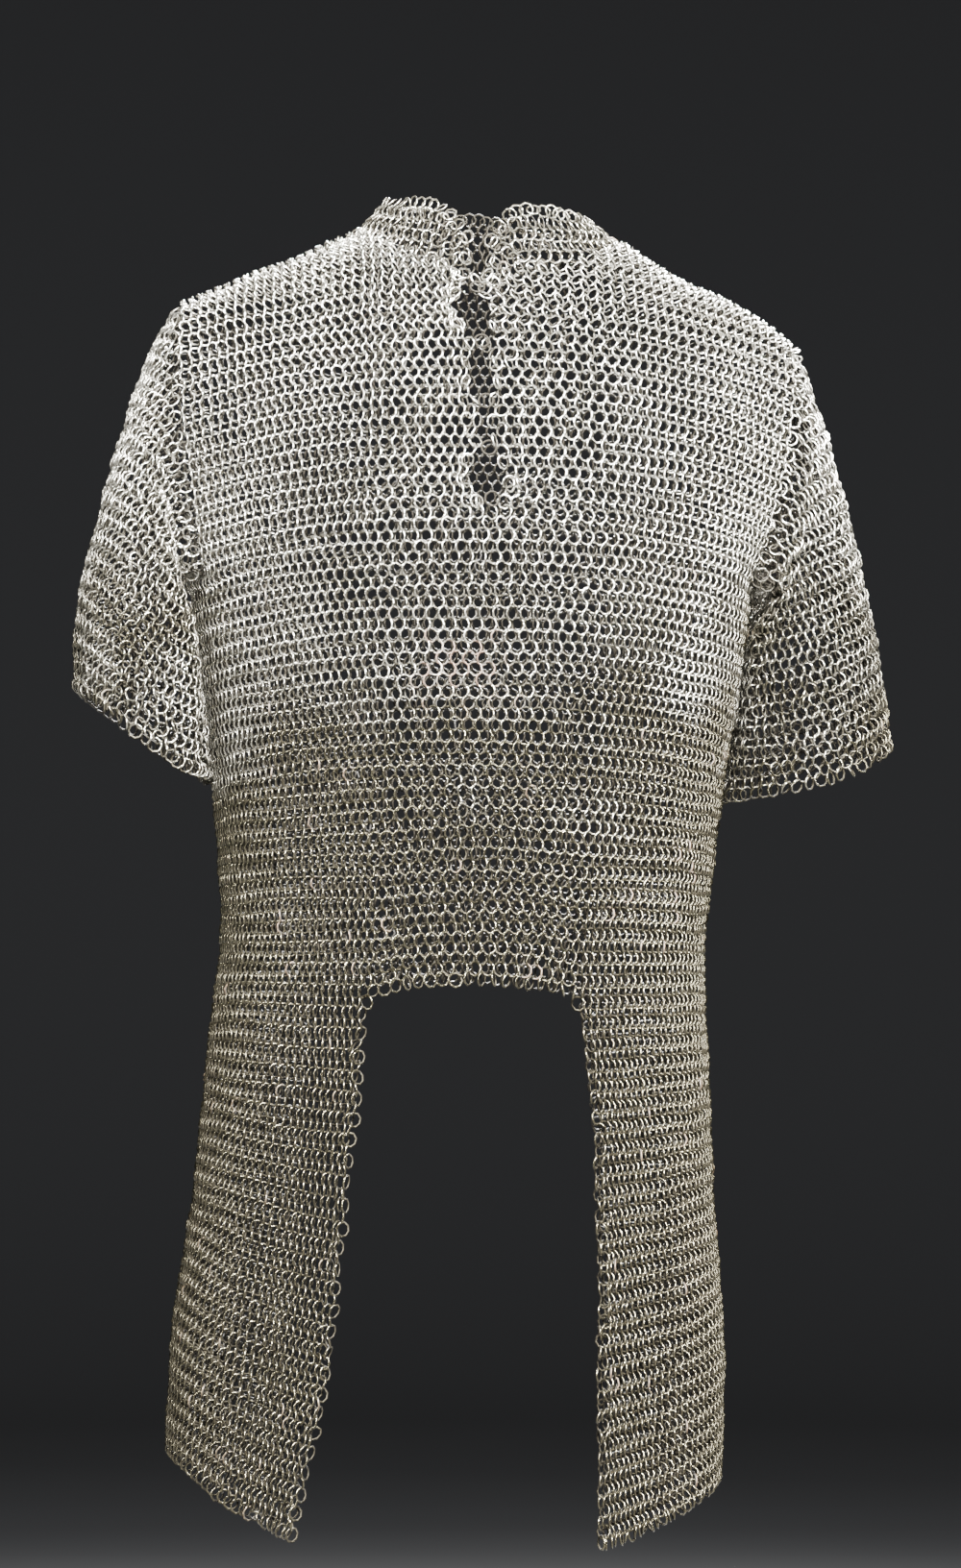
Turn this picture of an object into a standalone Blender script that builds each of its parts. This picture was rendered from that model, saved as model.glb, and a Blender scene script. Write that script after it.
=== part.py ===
"""Chainmail hauberk: a short-sleeved mail shirt in its worn, hollow form.

Metres, +Z up. The front faces -Y and the wearer's left is +X. The origin is in the middle of
the neck opening, level with the shoulder ridge beside it, which is where the wearer holds it up.

Every panel is a wall of mail as thick as the tilted rings stand. The trunk is lofted through
rows: row 0 lies level with the armpits, and each later row hangs about a ring's pitch lower.
Going round the trunk, a place is counted in columns of rings from the middle of the front.
"""
import math
from collections import namedtuple

import bmesh
import bpy
import numpy as np
from mathutils import Matrix, Vector

MM = 0.001

# ---------------------------------------------------------------- driving sizes, in millimetres
WALL = 3.6              # thickness of the mail, with its rings tilted
SEAM = 0.3              # gap between two panels
RING_OUTER = 10.0       # outer diameter of one ring
WIRE = 1.2              # diameter of the wire
RIDGE_Y = 12.0          # the shoulder ridge lies a little behind the middle of the neck
NECK_SIDE = 82.0        # half the width of the neck opening where it meets the shoulders
NECK_FRONT = 82.0       # depth of the neck opening in front of the ridge
NECK_BACK = 52.0        # and behind it
ARCH_FRONT = 2.1        # squareness of the curve from the chest up to the ridge
ARCH_BACK = 2.6         # and from the shoulder blades up to it
ARCH_SHOULDER = 3.2     # and at the armholes, where the shoulder's cap is rounder
SLIT_TOP = 4.5          # half the width of the neck slit at the collar
SLIT_FOOT = 2.0         # and at its lower end

# ---------------------------------------------------------------- columns of rings round the trunk
COLUMNS = 132           # rings in one row all round
SIDE = COLUMNS / 4      # column of the side, from the middle of the front
BACK = COLUMNS / 2      # column of the middle of the back
FRONT_CUT = 10          # the front cut-out is this many columns wide to each side
BACK_CUT = 14           # and the back one
ARMHOLE = 6             # columns from the side to the armhole's front and back edges
SLIT = 1.0              # column of the slit's edges, which are then drawn together

# ---------------------------------------------------------------- the trunk and skirt, row by row
# front_z is the height of the row at the middle of the front and back, right_z and left_z at the
# wearer's sides. The widths and depths are the row's own, and bend is how square it is. centre_x is
# where the middle of the body is, which drifts as the weight hangs, and slit_x is the front's middle
# line. Hanging free, a skirt closes up: its front and back edges come this much nearer its side.
TrunkRow = namedtuple(
    "TrunkRow",
    "row front_z right_z left_z half_width front_depth back_depth bend centre_x slit_x"
    " close_right close_left",
)
TRUNK = [
    TrunkRow(0, -205, -222, -222, 175, 126, 112, 2.5, -10, -7, 0, 0),
    TrunkRow(9, -270, -286, -286, 167, 122, 106, 2.4, -11, -9, 0, 0),
    TrunkRow(18, -335, -347, -347, 158, 114, 100, 2.25, -12, -11, 0, 0),
    TrunkRow(27, -400, -405, -405, 152, 107, 98, 2.2, -13, -13, 0, 0),
    TrunkRow(34, -450, -451, -451, 149, 104, 103, 2.2, -15, -15, 0, 0),
    TrunkRow(39, -486, -484, -485, 151, 103, 110, 2.2, -17, -17, 0, 0),
    TrunkRow(50, -564, -550, -554, 156, 103, 119, 2.2, -19, -20, 4, 12),
    TrunkRow(61, -643, -614, -624, 161, 103, 123, 2.25, -21, -24, 5, 16),
    TrunkRow(74, -734, -688, -703, 169, 101, 124, 2.3, -24, -29, 9, 19),
    TrunkRow(87, -825, -766, -786, 170, 98, 122, 2.3, -27, -33, 24, 24),
]
CUT_ROW = 39            # row of the front and back cut-outs' upper edge
HEM_ROW = 87
CUT_SAG = 8.0           # the middle of a cut-out's upper edge lies this much higher than its corners
ARMPIT_OUT = 6.0        # under the arm the top row turns out by this much
ARMPIT_UP = 5.0         # and up by this much, into the sleeve

# ---------------------------------------------------------------- the shoulder ridge
# share: 0 beside the neck, 1 at the shoulder point. The wearer's left shoulder hangs lower.
Ridge = namedtuple("Ridge", "share right_z left_z")
RIDGE = [
    Ridge(0.0, 0, -4),
    Ridge(0.3, -17, -26),
    Ridge(0.7, -35, -48),
    Ridge(1.0, -50, -72),
]
SHOULDER = 195.0        # half the width from shoulder point to shoulder point
NECK_RISE = 4.0         # how far the curve of the shoulders would rise inside the neck opening
NECK_MIDDLE = -14.0     # the middle of the front leads up to here, towards the wearer's right

# ---------------------------------------------------------------- the sleeves, ring by ring
# outer: the upper, outer fold of the tube; inner: the fold beside the body. half_depth is front
# to back, back_shift how far the tube's middle lies behind the ridge, and front_sag how much
# lower its front hangs.
SleeveRing = namedtuple(
    "SleeveRing", "outer_x outer_z inner_x inner_z half_depth back_shift front_sag"
)
SLEEVE_BEND = 2.2       # how square the tube is
SLEEVE_RIGHT = [
    SleeveRing(-212, -80, -198, -228, 64, -2, 0),
    SleeveRing(-230, -134, -187, -257, 71, -4, 1),
    SleeveRing(-245, -190, -182, -290, 76, -6, 3),
    SleeveRing(-256, -242, -178, -320, 79, -8, 6),
    SleeveRing(-256, -292, -175, -349, 81, -8, 9),
]
SLEEVE_LEFT = [
    SleeveRing(209, -104, 181, -228, 64, 2, 0),
    SleeveRing(225, -154, 168, -257, 71, 10, 1),
    SleeveRing(240, -208, 161, -293, 77, 20, 4),
    SleeveRing(253, -262, 154, -328, 80, 26, 8),
    SleeveRing(262, -324, 148, -358, 82, 30, 12),
]

# ---------------------------------------------------------------- the collar
COLLAR_TOP_X = 63.0     # half width of its upper edge
COLLAR_FRONT_Y = -59.0
COLLAR_BACK_Y = 60.0
COLLAR_FRONT_Z = 2.0    # heights of the upper edge at the front, the sides and the back
COLLAR_SIDE_Z = 14.0
COLLAR_BACK_Z = 26.0
COLLAR_LEAN = 0.10      # it stands this much lower per millimetre towards the wearer's left
COLLAR_HOLLOW = 0.12    # how hollow its outside is

EDGE = SIDE - ARMHOLE                       # column of the armhole's front edge
NECK = EDGE * NECK_SIDE / SHOULDER          # column that meets the ridge beside the neck

# ---------------------------------------------------------------- how finely the walls are divided
CHEST_SHARES = [0, 0.07, 0.19, 0.32, 0.45, 0.59, 0.73, 0.87, 1]   # the slit ends at the second
TRUNK_ROWS = [0, 1.6, 6, 12, 18, 24, 30, 35, CUT_ROW]
SKIRT_ROWS = [CUT_ROW, 45, 51, 57, 63, 69, 75, 81, HEM_ROW]
COLLAR_STEPS = 3
SLEEVE_STEPS = 9
LINK_HEIGHTS = (-50, -86, -124, -153, -184)     # of the rings that hold the neck slit closed
LINK_CLEAR = 0.5        # from the mail to the wire that lies on it
LINK_SIDES, LINK_STEPS = 6, 16

# ---------------------------------------------------------------- finishes
Finish = namedtuple("Finish", "name colour roughness metallic")
MAIL = Finish("steel_mail", (0.33, 0.32, 0.28, 1), 0.38, 0.9)
MAIL_DARK = Finish("steel_mail_lower", (0.27, 0.26, 0.21, 1), 0.42, 0.9)
LINK = Finish("steel_link", (0.42, 0.41, 0.37, 1), 0.3, 0.95)


def read_between(table, key, at):
    """The table's columns at a value of its key column, on a smooth curve through its rows."""
    keys = [getattr(row, key) for row in table]
    values = np.array(table, float)
    at = min(max(at, keys[0]), keys[-1])
    i = min(int(np.searchsorted(keys, at, side="right")) - 1, len(keys) - 2)
    span = keys[i + 1] - keys[i]
    t = (at - keys[i]) / span

    def slope(k):
        low, high = max(k - 1, 0), min(k + 1, len(keys) - 1)
        return (values[high] - values[low]) / (keys[high] - keys[low])

    a, b = values[i], values[i + 1]
    ease = (1 + 2 * t) * (1 - t) ** 2 * a + t * t * (3 - 2 * t) * b
    ease += span * (t * (1 - t) ** 2 * slope(i) - t * t * (1 - t) * slope(i + 1))
    return type(table[0])(*ease)


def power(value, exponent):
    return math.copysign(abs(value) ** exponent, value)


def trunk_outline(row, steps=240):
    """Points of one row all round, from the middle of the front towards the wearer's left."""
    s = read_between(TRUNK, "row", row)
    points = []
    for k in range(steps + 1):
        angle = 2 * math.pi * k / steps
        across, along = power(math.sin(angle), 2 / s.bend), power(math.cos(angle), 2 / s.bend)
        depth = s.front_depth if along > 0 else s.back_depth
        side_z = s.left_z if across > 0 else s.right_z
        z = s.front_z + (side_z - s.front_z) * math.sin(angle) ** 2
        points.append((s.centre_x + s.half_width * across, -depth * along, z))
    return np.array(points)


outlines = {}


def on_trunk(row, column):
    """The point of the trunk's middle surface at a row and a column of rings."""
    if row not in outlines:
        points = trunk_outline(row)
        lengths = np.r_[0, np.cumsum(np.linalg.norm(np.diff(points[:, :2], axis=0), axis=1))]
        outlines[row] = points, lengths, read_between(TRUNK, "row", row)
    points, lengths, s = outlines[row]
    at = column / COLUMNS * lengths[-1] + s.slit_x - s.centre_x
    if row > CUT_ROW:
        ahead = (SIDE - abs(column)) / (SIDE - FRONT_CUT)
        at += (s.close_left if column > 0 else -s.close_right) * ahead * abs(ahead)
    at %= lengths[-1]
    return np.array([np.interp(at, lengths, points[:, k]) for k in range(3)])


def ridge_point(share):
    """The shoulder ridge from the wearer's right shoulder point, -1, over the neck to the left, 1."""
    x = share * SHOULDER
    beside = (abs(x) - NECK_SIDE) / (SHOULDER - NECK_SIDE)
    if beside < 0:
        side = (x / NECK_SIDE + 1) / 2
        z = RIDGE[0].right_z + (RIDGE[0].left_z - RIDGE[0].right_z) * side
        return np.array([x, RIDGE_Y, z + NECK_RISE * (1 - (x / NECK_SIDE) ** 2)])
    s = read_between(RIDGE, "share", beside)
    return np.array([x, RIDGE_Y, s.right_z if x < 0 else s.left_z])


def on_chest(column, climb):
    """The point over a column of the front (or back, past SIDE) at a climb from 0 to 1.

    The surface stands up from the armpit row and curves over to lie level at the ridge."""
    front = abs(column) <= SIDE
    foot = on_trunk(0, column)
    beside = column if front else math.copysign(BACK - abs(column), column)
    top = ridge_point(beside / EDGE)
    if front:
        top[0] += NECK_MIDDLE * max(0.0, 1 - abs(column) / NECK)
    square = ARCH_FRONT if front else ARCH_BACK
    square = 2 / (square + (ARCH_SHOULDER - square) * abs(beside / EDGE) ** 3)
    rise = math.sin(climb * math.pi / 2) ** square
    reach = math.cos(climb * math.pi / 2) ** square if climb < 1 else 0.0
    x = foot[0] + (top[0] - foot[0]) * (1 - (1 - rise) ** 2)
    y = top[1] + (foot[1] - top[1]) * reach
    z = foot[2] + (top[2] - foot[2]) * rise
    return np.array([x, y, z])


def neck_depth(x, front):
    """How far from the ridge line the neck opening's edge is at this x, or 0 outside it."""
    inside = 1 - (x / NECK_SIDE) ** 2
    return (NECK_FRONT if front else NECK_BACK) * math.sqrt(inside) if inside > 0 else 0.0


def neck_climb(column):
    """The climb at which a column meets the neck opening, or 1 where it reaches the ridge."""
    front = abs(column) <= SIDE
    if (abs(column) if front else BACK - abs(column)) > NECK - 0.01:
        return 1.0
    low, high = 0.0, 1.0
    for _ in range(40):
        middle = (low + high) / 2
        x, y, _z = on_chest(column, middle)
        if abs(y - RIDGE_Y) > neck_depth(x, front):
            low = middle
        else:
            high = middle
    return high


def chest_point(column, share):
    """A point at a share of the way from the armpit row to the ridge or the neck opening."""
    # equal steps of the climb crowd at its foot, so the share is eased first
    return on_chest(column, neck_climb(column) * share ** 0.9)


class Cloth:
    """One connected middle surface, whose faces are marked with the panel that they belong to."""

    def __init__(self):
        self.bm = bmesh.new()
        self.panel = self.bm.faces.layers.int.new("panel")
        self.names = []

    def add(self, name, point, across, along, keep=None, closed=False):
        """A grid of point(i, j) over the stations across and along, of the cells that are kept."""
        if name not in self.names:
            self.names.append(name)
        mark = self.names.index(name)
        rows = []
        for j in along:
            rows.append([self.bm.verts.new(point(i, j)) for i in across])
        for b in range(len(along) - 1):
            last = len(across) if closed else len(across) - 1
            for a in range(last):
                if keep and not keep(a, b):
                    continue
                c = (a + 1) % len(across)
                quad = [rows[b][a], rows[b][c], rows[b + 1][c], rows[b + 1][a]]
                self.bm.faces.new(quad)[self.panel] = mark

    def close(self):
        """Joins the panels where they meet, so that they share their points and their slopes."""
        loose = [v for v in self.bm.verts if not v.link_faces]
        bmesh.ops.delete(self.bm, geom=loose, context="VERTS")
        bmesh.ops.remove_doubles(self.bm, verts=self.bm.verts, dist=0.05)
        bmesh.ops.recalc_face_normals(self.bm, faces=self.bm.faces)
        self.bm.normal_update()
        self.bm.verts.index_update()

    def wall(self, name, finish):
        """Makes a panel's solid: its faces moved half a wall to each side, and closed at the rim."""
        mark = self.names.index(name)
        faces = [f for f in self.bm.faces if f[self.panel] == mark]
        own = set(faces)
        partings = {}
        for face in faces:
            for edge in face.edges:
                for other in edge.link_faces:
                    if other not in own:
                        way = (inward(face, edge) - inward(other, edge)).normalized()
                        for v in edge.verts:
                            partings.setdefault(v, []).append(way)
        solid = bmesh.new()
        outer, inner = {}, {}
        for v in dict.fromkeys(v for face in faces for v in face.verts):
            at = v.co + parted(partings.get(v, []))
            outer[v] = solid.verts.new((at + v.normal * (WALL / 2)) * MM)
            inner[v] = solid.verts.new((at - v.normal * (WALL / 2)) * MM)
        for face in faces:
            solid.faces.new([outer[v] for v in face.verts])
            solid.faces.new([inner[v] for v in reversed(face.verts)])
            for edge in face.edges:
                if all(f is face or f not in own for f in edge.link_faces):
                    # split the same way as the neighbour's rim, so that the two lie parallel
                    a, b = sorted(edge.verts, key=lambda v: v.index)
                    solid.faces.new([outer[a], inner[b], inner[a]])
                    solid.faces.new([outer[a], outer[b], inner[b]])
        bmesh.ops.recalc_face_normals(solid, faces=solid.faces)
        return add_object(name, solid, finish)


def inward(face, edge):
    """The direction in a face that leads straight away from one of its edges."""
    a, b = edge.verts
    run = (b.co - a.co).normalized()
    middle = face.calc_center_median() - (a.co + b.co) / 2
    return (middle - run * middle.dot(run)).normalized()


def parted(ways):
    """How far a point on a seam moves, so that it leaves half the gap to each way's neighbour."""
    if not ways:
        return Vector()
    first = ways[0]
    last = min(ways, key=first.dot)
    return (first + last) * (SEAM / 2 / max(1 + first.dot(last), 0.4))


def add_object(name, bm, finish):
    mesh = bpy.data.meshes.new(name)
    bm.to_mesh(mesh)
    bm.free()
    mesh.shade_smooth()
    mesh.set_sharp_from_angle(angle=math.radians(50))
    mesh.materials.append(material(finish))
    piece = bpy.data.objects.new(name, mesh)
    bpy.context.collection.objects.link(piece)
    return piece


def material(finish):
    found = bpy.data.materials.get(finish.name)
    if found:
        return found
    made = bpy.data.materials.new(finish.name)
    made.use_nodes = True
    shader = made.node_tree.nodes["Principled BSDF"]
    shader.inputs["Base Color"].default_value = finish.colour
    shader.inputs["Roughness"].default_value = finish.roughness
    shader.inputs["Metallic"].default_value = finish.metallic
    return made


def stations(*stretches):
    """Columns in even steps through stretches of (first, last, steps), end to end."""
    columns = []
    for first, last, steps in stretches:
        columns += list(np.linspace(first, last, steps + 1))[1 if columns else 0:]
    return [round(float(c), 4) for c in columns]


def mirrored(stretches, about=0):
    """The same stretches on both sides of a column."""
    before = [(2 * about - last, 2 * about - first, n) for first, last, n in reversed(stretches)]
    return before + stretches


UNDER_ARM = 3                               # steps from the armhole's edge to the side
CHEST_HALF = [(SLIT, FRONT_CUT, 3), (FRONT_CUT, NECK, 2), (NECK, BACK_CUT, 1), (BACK_CUT, EDGE, 5)]
BLADE_HALF = [(BACK, BACK + NECK, 5), (BACK + NECK, BACK + BACK_CUT, 1), (BACK + BACK_CUT, BACK + EDGE, 5)]
CHEST = mirrored([(0, SLIT, 1)] + CHEST_HALF)
BLADES = mirrored(BLADE_HALF, BACK)
CHEST_COLUMNS = [c for c in stations(*CHEST) if c != 0]
BLADE_COLUMNS = stations(*BLADES)
FRONT_COLUMNS = [c for c in stations((-SIDE, -EDGE, UNDER_ARM), *CHEST, (EDGE, SIDE, UNDER_ARM)) if c != 0]
BACK_COLUMNS = stations(
    (SIDE, BACK - EDGE, UNDER_ARM), *BLADES, (BACK + EDGE, 3 * SIDE, UNDER_ARM)
)


def signed(column):
    """The column counted the short way from the middle of the front."""
    return column if column <= BACK else column - COLUMNS


def drawn_in(point, middle, half):
    """The point moved along the row, to lie half a slit's width from the slit's middle."""
    return middle + (point - middle) * (half / abs(point[0] - middle[0]))


def row_point(column, row):
    """A point of the front or back below the armpits."""
    column = signed(column)
    point = on_trunk(row, column)
    cut, middle = (FRONT_CUT, 0) if abs(column) <= SIDE else (BACK_CUT, BACK)
    beside = abs(abs(column) - middle) / cut
    if beside < 1:
        nearness = max(0.0, 1 - 2 * (CUT_ROW - row) / CUT_ROW)
        point[2] += CUT_SAG * (1 - beside ** 2) * nearness
    under = 1 - abs(abs(column) - SIDE) / ARMHOLE
    if row == 0 and under > 0:
        turn = math.sin(under * math.pi / 2)
        point += [math.copysign(ARMPIT_OUT * turn, column), 0, ARMPIT_UP * turn]
    if abs(column) == SLIT and row < TRUNK_ROWS[2]:
        point = drawn_in(point, on_trunk(row, 0), slit_half(0))
    return Vector(point)


def chest(column, share):
    """A point of the front or back above the armpits."""
    column = signed(column)
    point = chest_point(column, share)
    if abs(column) == SLIT:
        point = drawn_in(point, chest_point(0, share), slit_half(share))
    return Vector(point)


def slit_half(share):
    """Half the slit's width at a share of the way up the chest."""
    return SLIT_FOOT + (SLIT_TOP - SLIT_FOOT) * share


def armhole_loop(side):
    """Places round an armhole: from the ridge down the front edge, under the arm, up the back."""
    front = [chest(side * EDGE, share) for share in reversed(CHEST_SHARES)]
    back = [chest(side * (BACK - EDGE), share) for share in CHEST_SHARES[:-1]]
    under = stations((EDGE, SIDE, UNDER_ARM), (SIDE, BACK - EDGE, UNDER_ARM))[1:-1]
    return front + [row_point(side * c, 0) for c in under] + back


def sleeve_rings(table, side):
    """Every ring of a sleeve's tube, from the armhole to the cuff, as lists of points."""
    loop = armhole_loop(side)
    top, foot = loop[0], row_point(side * SIDE, 0)
    middle, reach = (top + foot) / 2, (top - foot) / 2
    widest = max(abs(p.y - middle.y) for p in loop)
    places = [((p - middle).dot(reach) / reach.length_squared, (p.y - middle.y) / widest) for p in loop]
    rings = [loop]
    for number, s in enumerate(table, 1):
        # the tube keeps the armhole's own shape at first, and rounds off towards the cuff
        rounded = number / len(table)
        outer, inner = Vector((s.outer_x, 0, s.outer_z)), Vector((s.inner_x, 0, s.inner_z))
        centre = (outer + inner) / 2 + Vector((0, RIDGE_Y + s.back_shift, 0))
        ring = []
        for up, back in places:
            turn = math.atan2(back, up)
            up += (power(math.cos(turn), 2 / SLEEVE_BEND) - up) * rounded
            back += (power(math.sin(turn), 2 / SLEEVE_BEND) - back) * rounded
            sag = s.front_sag * min(0.0, back) ** 2
            ring.append(centre + (outer - inner) / 2 * up + Vector((0, s.half_depth * back, -sag)))
        rings.append(ring)
    return rings


def on_sleeve(rings, k, along):
    """The point at place k round a sleeve and a share along it, on a smooth curve through rings."""
    at = along * (len(rings) - 1)
    i = min(int(at), len(rings) - 2)
    t = at - i
    before, a, b, after = [rings[min(max(i + d, 0), len(rings) - 1)][k] for d in (-1, 0, 1, 2)]
    rise_a = (b - before) / (2 if i > 0 else 1)
    rise_b = (after - a) / (2 if i < len(rings) - 2 else 1)
    point = (1 + 2 * t) * (1 - t) ** 2 * a + t * t * (3 - 2 * t) * b
    return point + t * (1 - t) ** 2 * rise_a - t * t * (1 - t) * rise_b


def neck_loop():
    """The collar's foot, from the slit's one edge round the back of the neck to its other edge."""
    left = [c for c in CHEST_COLUMNS if SLIT <= c <= NECK + 1e-3]
    rear = [c for c in BLADE_COLUMNS if abs(c - BACK) < NECK - 1e-3]
    right = [c for c in CHEST_COLUMNS if -NECK - 1e-3 <= c <= -SLIT]
    return [chest(c, 1) for c in left + rear + right]


def collar_point(foot, share):
    """The collar's surface over a point of its foot, at a share of the way up."""
    depth = NECK_FRONT if foot.y < RIDGE_Y else NECK_BACK
    turn = math.atan2(foot.x / NECK_SIDE, -(foot.y - RIDGE_Y) / depth)
    x, ahead = COLLAR_TOP_X * math.sin(turn), math.cos(turn)
    y, z = (COLLAR_FRONT_Y, COLLAR_FRONT_Z) if ahead > 0 else (COLLAR_BACK_Y, COLLAR_BACK_Z)
    height = COLLAR_SIDE_Z + (z - COLLAR_SIDE_Z) * ahead ** 2 - COLLAR_LEAN * x
    # the band leaves the shoulders at a slant and stands steeper towards its edge
    in_by = share + COLLAR_HOLLOW * math.sin(math.pi * share)
    return Vector((
        foot.x + (x - foot.x) * in_by,
        foot.y + (y * abs(ahead) - foot.y) * in_by,
        foot.z + (height - foot.z) * share,
    ))


def link_ring(number, height):
    """One of the rings that bridge the slit: it lies flat on the mail, across both edges."""
    shares = np.linspace(0, 1, 81)
    heights = [chest_point(0, share)[2] for share in shares]
    share = float(np.interp(height, heights, shares))
    at, above = Vector(chest_point(0, share)), Vector(chest_point(0, share + 0.01))
    up = (above - at).normalized()
    out = Vector((1, 0, 0)).cross(up)
    out = -out if out.y > 0 else out
    bm = bmesh.new()
    made = bmesh.ops.create_circle(bm, segments=LINK_SIDES, radius=WIRE / 2 * MM)
    middle = (RING_OUTER - WIRE) / 2 * MM
    bmesh.ops.rotate(bm, verts=made["verts"], matrix=Matrix.Rotation(math.pi / 2, 3, "X"))
    bmesh.ops.translate(bm, verts=made["verts"], vec=(middle, 0, 0))
    bmesh.ops.spin(
        bm, geom=bm.verts[:] + bm.edges[:], axis=(0, 0, 1), cent=(0, 0, 0),
        angle=2 * math.pi, steps=LINK_STEPS, use_merge=True,
    )
    bmesh.ops.remove_doubles(bm, verts=bm.verts, dist=1e-6)
    bmesh.ops.recalc_face_normals(bm, faces=bm.faces)
    rise = WALL / 2 + LINK_CLEAR + WIRE / 2
    bmesh.ops.transform(bm, matrix=out.to_track_quat("Z", "Y").to_matrix().to_4x4(), verts=bm.verts)
    bmesh.ops.translate(bm, verts=bm.verts, vec=(at + out * rise) * MM)
    return add_object(f"neck_link_{number}", bm, LINK)


def weave(cloth):
    """Adds every panel to the cloth, from shared stations, so that neighbours meet point for point."""
    cloth.add("front", row_point, FRONT_COLUMNS, TRUNK_ROWS)
    cloth.add("back", row_point, BACK_COLUMNS, TRUNK_ROWS)
    slit = CHEST_COLUMNS.index(-SLIT)
    cloth.add("front", chest, CHEST_COLUMNS, CHEST_SHARES, lambda a, b: a != slit or b == 0)
    cloth.add("back", chest, BLADE_COLUMNS, CHEST_SHARES)
    left = [c for c in FRONT_COLUMNS if c >= FRONT_CUT]
    left += [c for c in BACK_COLUMNS if SIDE < c <= BACK - BACK_CUT]
    right = [c for c in BACK_COLUMNS if c >= BACK + BACK_CUT]
    right += [c + COLUMNS for c in FRONT_COLUMNS if -SIDE < c <= -FRONT_CUT]
    for name, columns in (("skirt_left", left), ("skirt_right", right)):
        cloth.add(name, lambda c, r: Vector(on_trunk(r, signed(c))), columns, SKIRT_ROWS)
    along = [k / SLEEVE_STEPS for k in range(SLEEVE_STEPS + 1)]
    for name, table, side in (("sleeve_left", SLEEVE_LEFT, 1), ("sleeve_right", SLEEVE_RIGHT, -1)):
        rings = sleeve_rings(table, side)
        places = range(len(rings[0]))
        cloth.add(name, lambda k, t, r=rings: on_sleeve(r, k, t), places, along, closed=True)
    foot = neck_loop()
    rises = [k / COLLAR_STEPS for k in range(COLLAR_STEPS + 1)]
    cloth.add("collar", lambda k, t: collar_point(foot[k], t), range(len(foot)), rises)


def build():
    for old in list(bpy.data.objects):
        bpy.data.objects.remove(old, do_unlink=True)
    cloth = Cloth()
    weave(cloth)
    cloth.close()
    for name in cloth.names:
        cloth.wall(name, MAIL_DARK if name.startswith("skirt") else MAIL)
    for number, height in enumerate(LINK_HEIGHTS, 1):
        link_ring(number, height)


build()
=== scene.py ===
"""The chainmail hauberk's looks: every ring of its mail, laid on the same form as its solids.

The rings stand at the places of a four in one weave. Those of one row all lean the same way and
those of the next row the other way, and alternate rows are set off by half a column. They are not
solved as a linked chain: nearly every ring cuts through some neighbours, and only about a third of
them are linked to four others, as in such mail all are. Millimetres are turned to metres as pieces
are made.
"""
import math
from collections import namedtuple

import bmesh
import bpy
import numpy as np
from mathutils import Matrix, Vector


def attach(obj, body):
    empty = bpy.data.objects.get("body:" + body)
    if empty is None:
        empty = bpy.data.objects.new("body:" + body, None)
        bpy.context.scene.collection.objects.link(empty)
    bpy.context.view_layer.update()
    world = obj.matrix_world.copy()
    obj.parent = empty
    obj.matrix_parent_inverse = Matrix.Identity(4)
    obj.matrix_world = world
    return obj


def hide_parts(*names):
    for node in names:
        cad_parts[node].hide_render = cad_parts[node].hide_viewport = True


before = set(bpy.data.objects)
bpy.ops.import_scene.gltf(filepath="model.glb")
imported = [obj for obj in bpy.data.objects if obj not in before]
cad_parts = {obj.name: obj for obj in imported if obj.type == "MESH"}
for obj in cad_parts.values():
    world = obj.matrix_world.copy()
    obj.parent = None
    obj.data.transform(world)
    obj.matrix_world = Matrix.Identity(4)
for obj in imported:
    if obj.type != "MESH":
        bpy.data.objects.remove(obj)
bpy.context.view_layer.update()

MM = 0.001
FLOOR_Z, STUDIO_RADIUS, STUDIO_HEIGHT, COVE = -1.42, 7.5, 4.2, 1.9

# ---------------------------------------------------------------- one ring
RING_OUTER = 10.0
WIRE = 1.2
RING_STEPS = 8              # straight lengths round a ring
WIRE_SIDES = 3
WIRE_CORNER = 0.76          # from the wire's middle to a corner of its three-sided section
RADIUS = (RING_OUTER - WIRE) / 2

# ---------------------------------------------------------------- the trunk's form, as in its solids
RIDGE_Y = 12.0
NECK_SIDE = 82.0
NECK_FRONT = 82.0
NECK_BACK = 52.0
ARCH_FRONT = 2.1
ARCH_BACK = 2.6
ARCH_SHOULDER = 3.2
COLUMNS = 132               # the places round the trunk that its form is told by
SIDE = COLUMNS / 4
BACK = COLUMNS / 2
FRONT_CUT = 10
BACK_CUT = 14
ARMHOLE = 6
EDGE = SIDE - ARMHOLE

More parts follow.
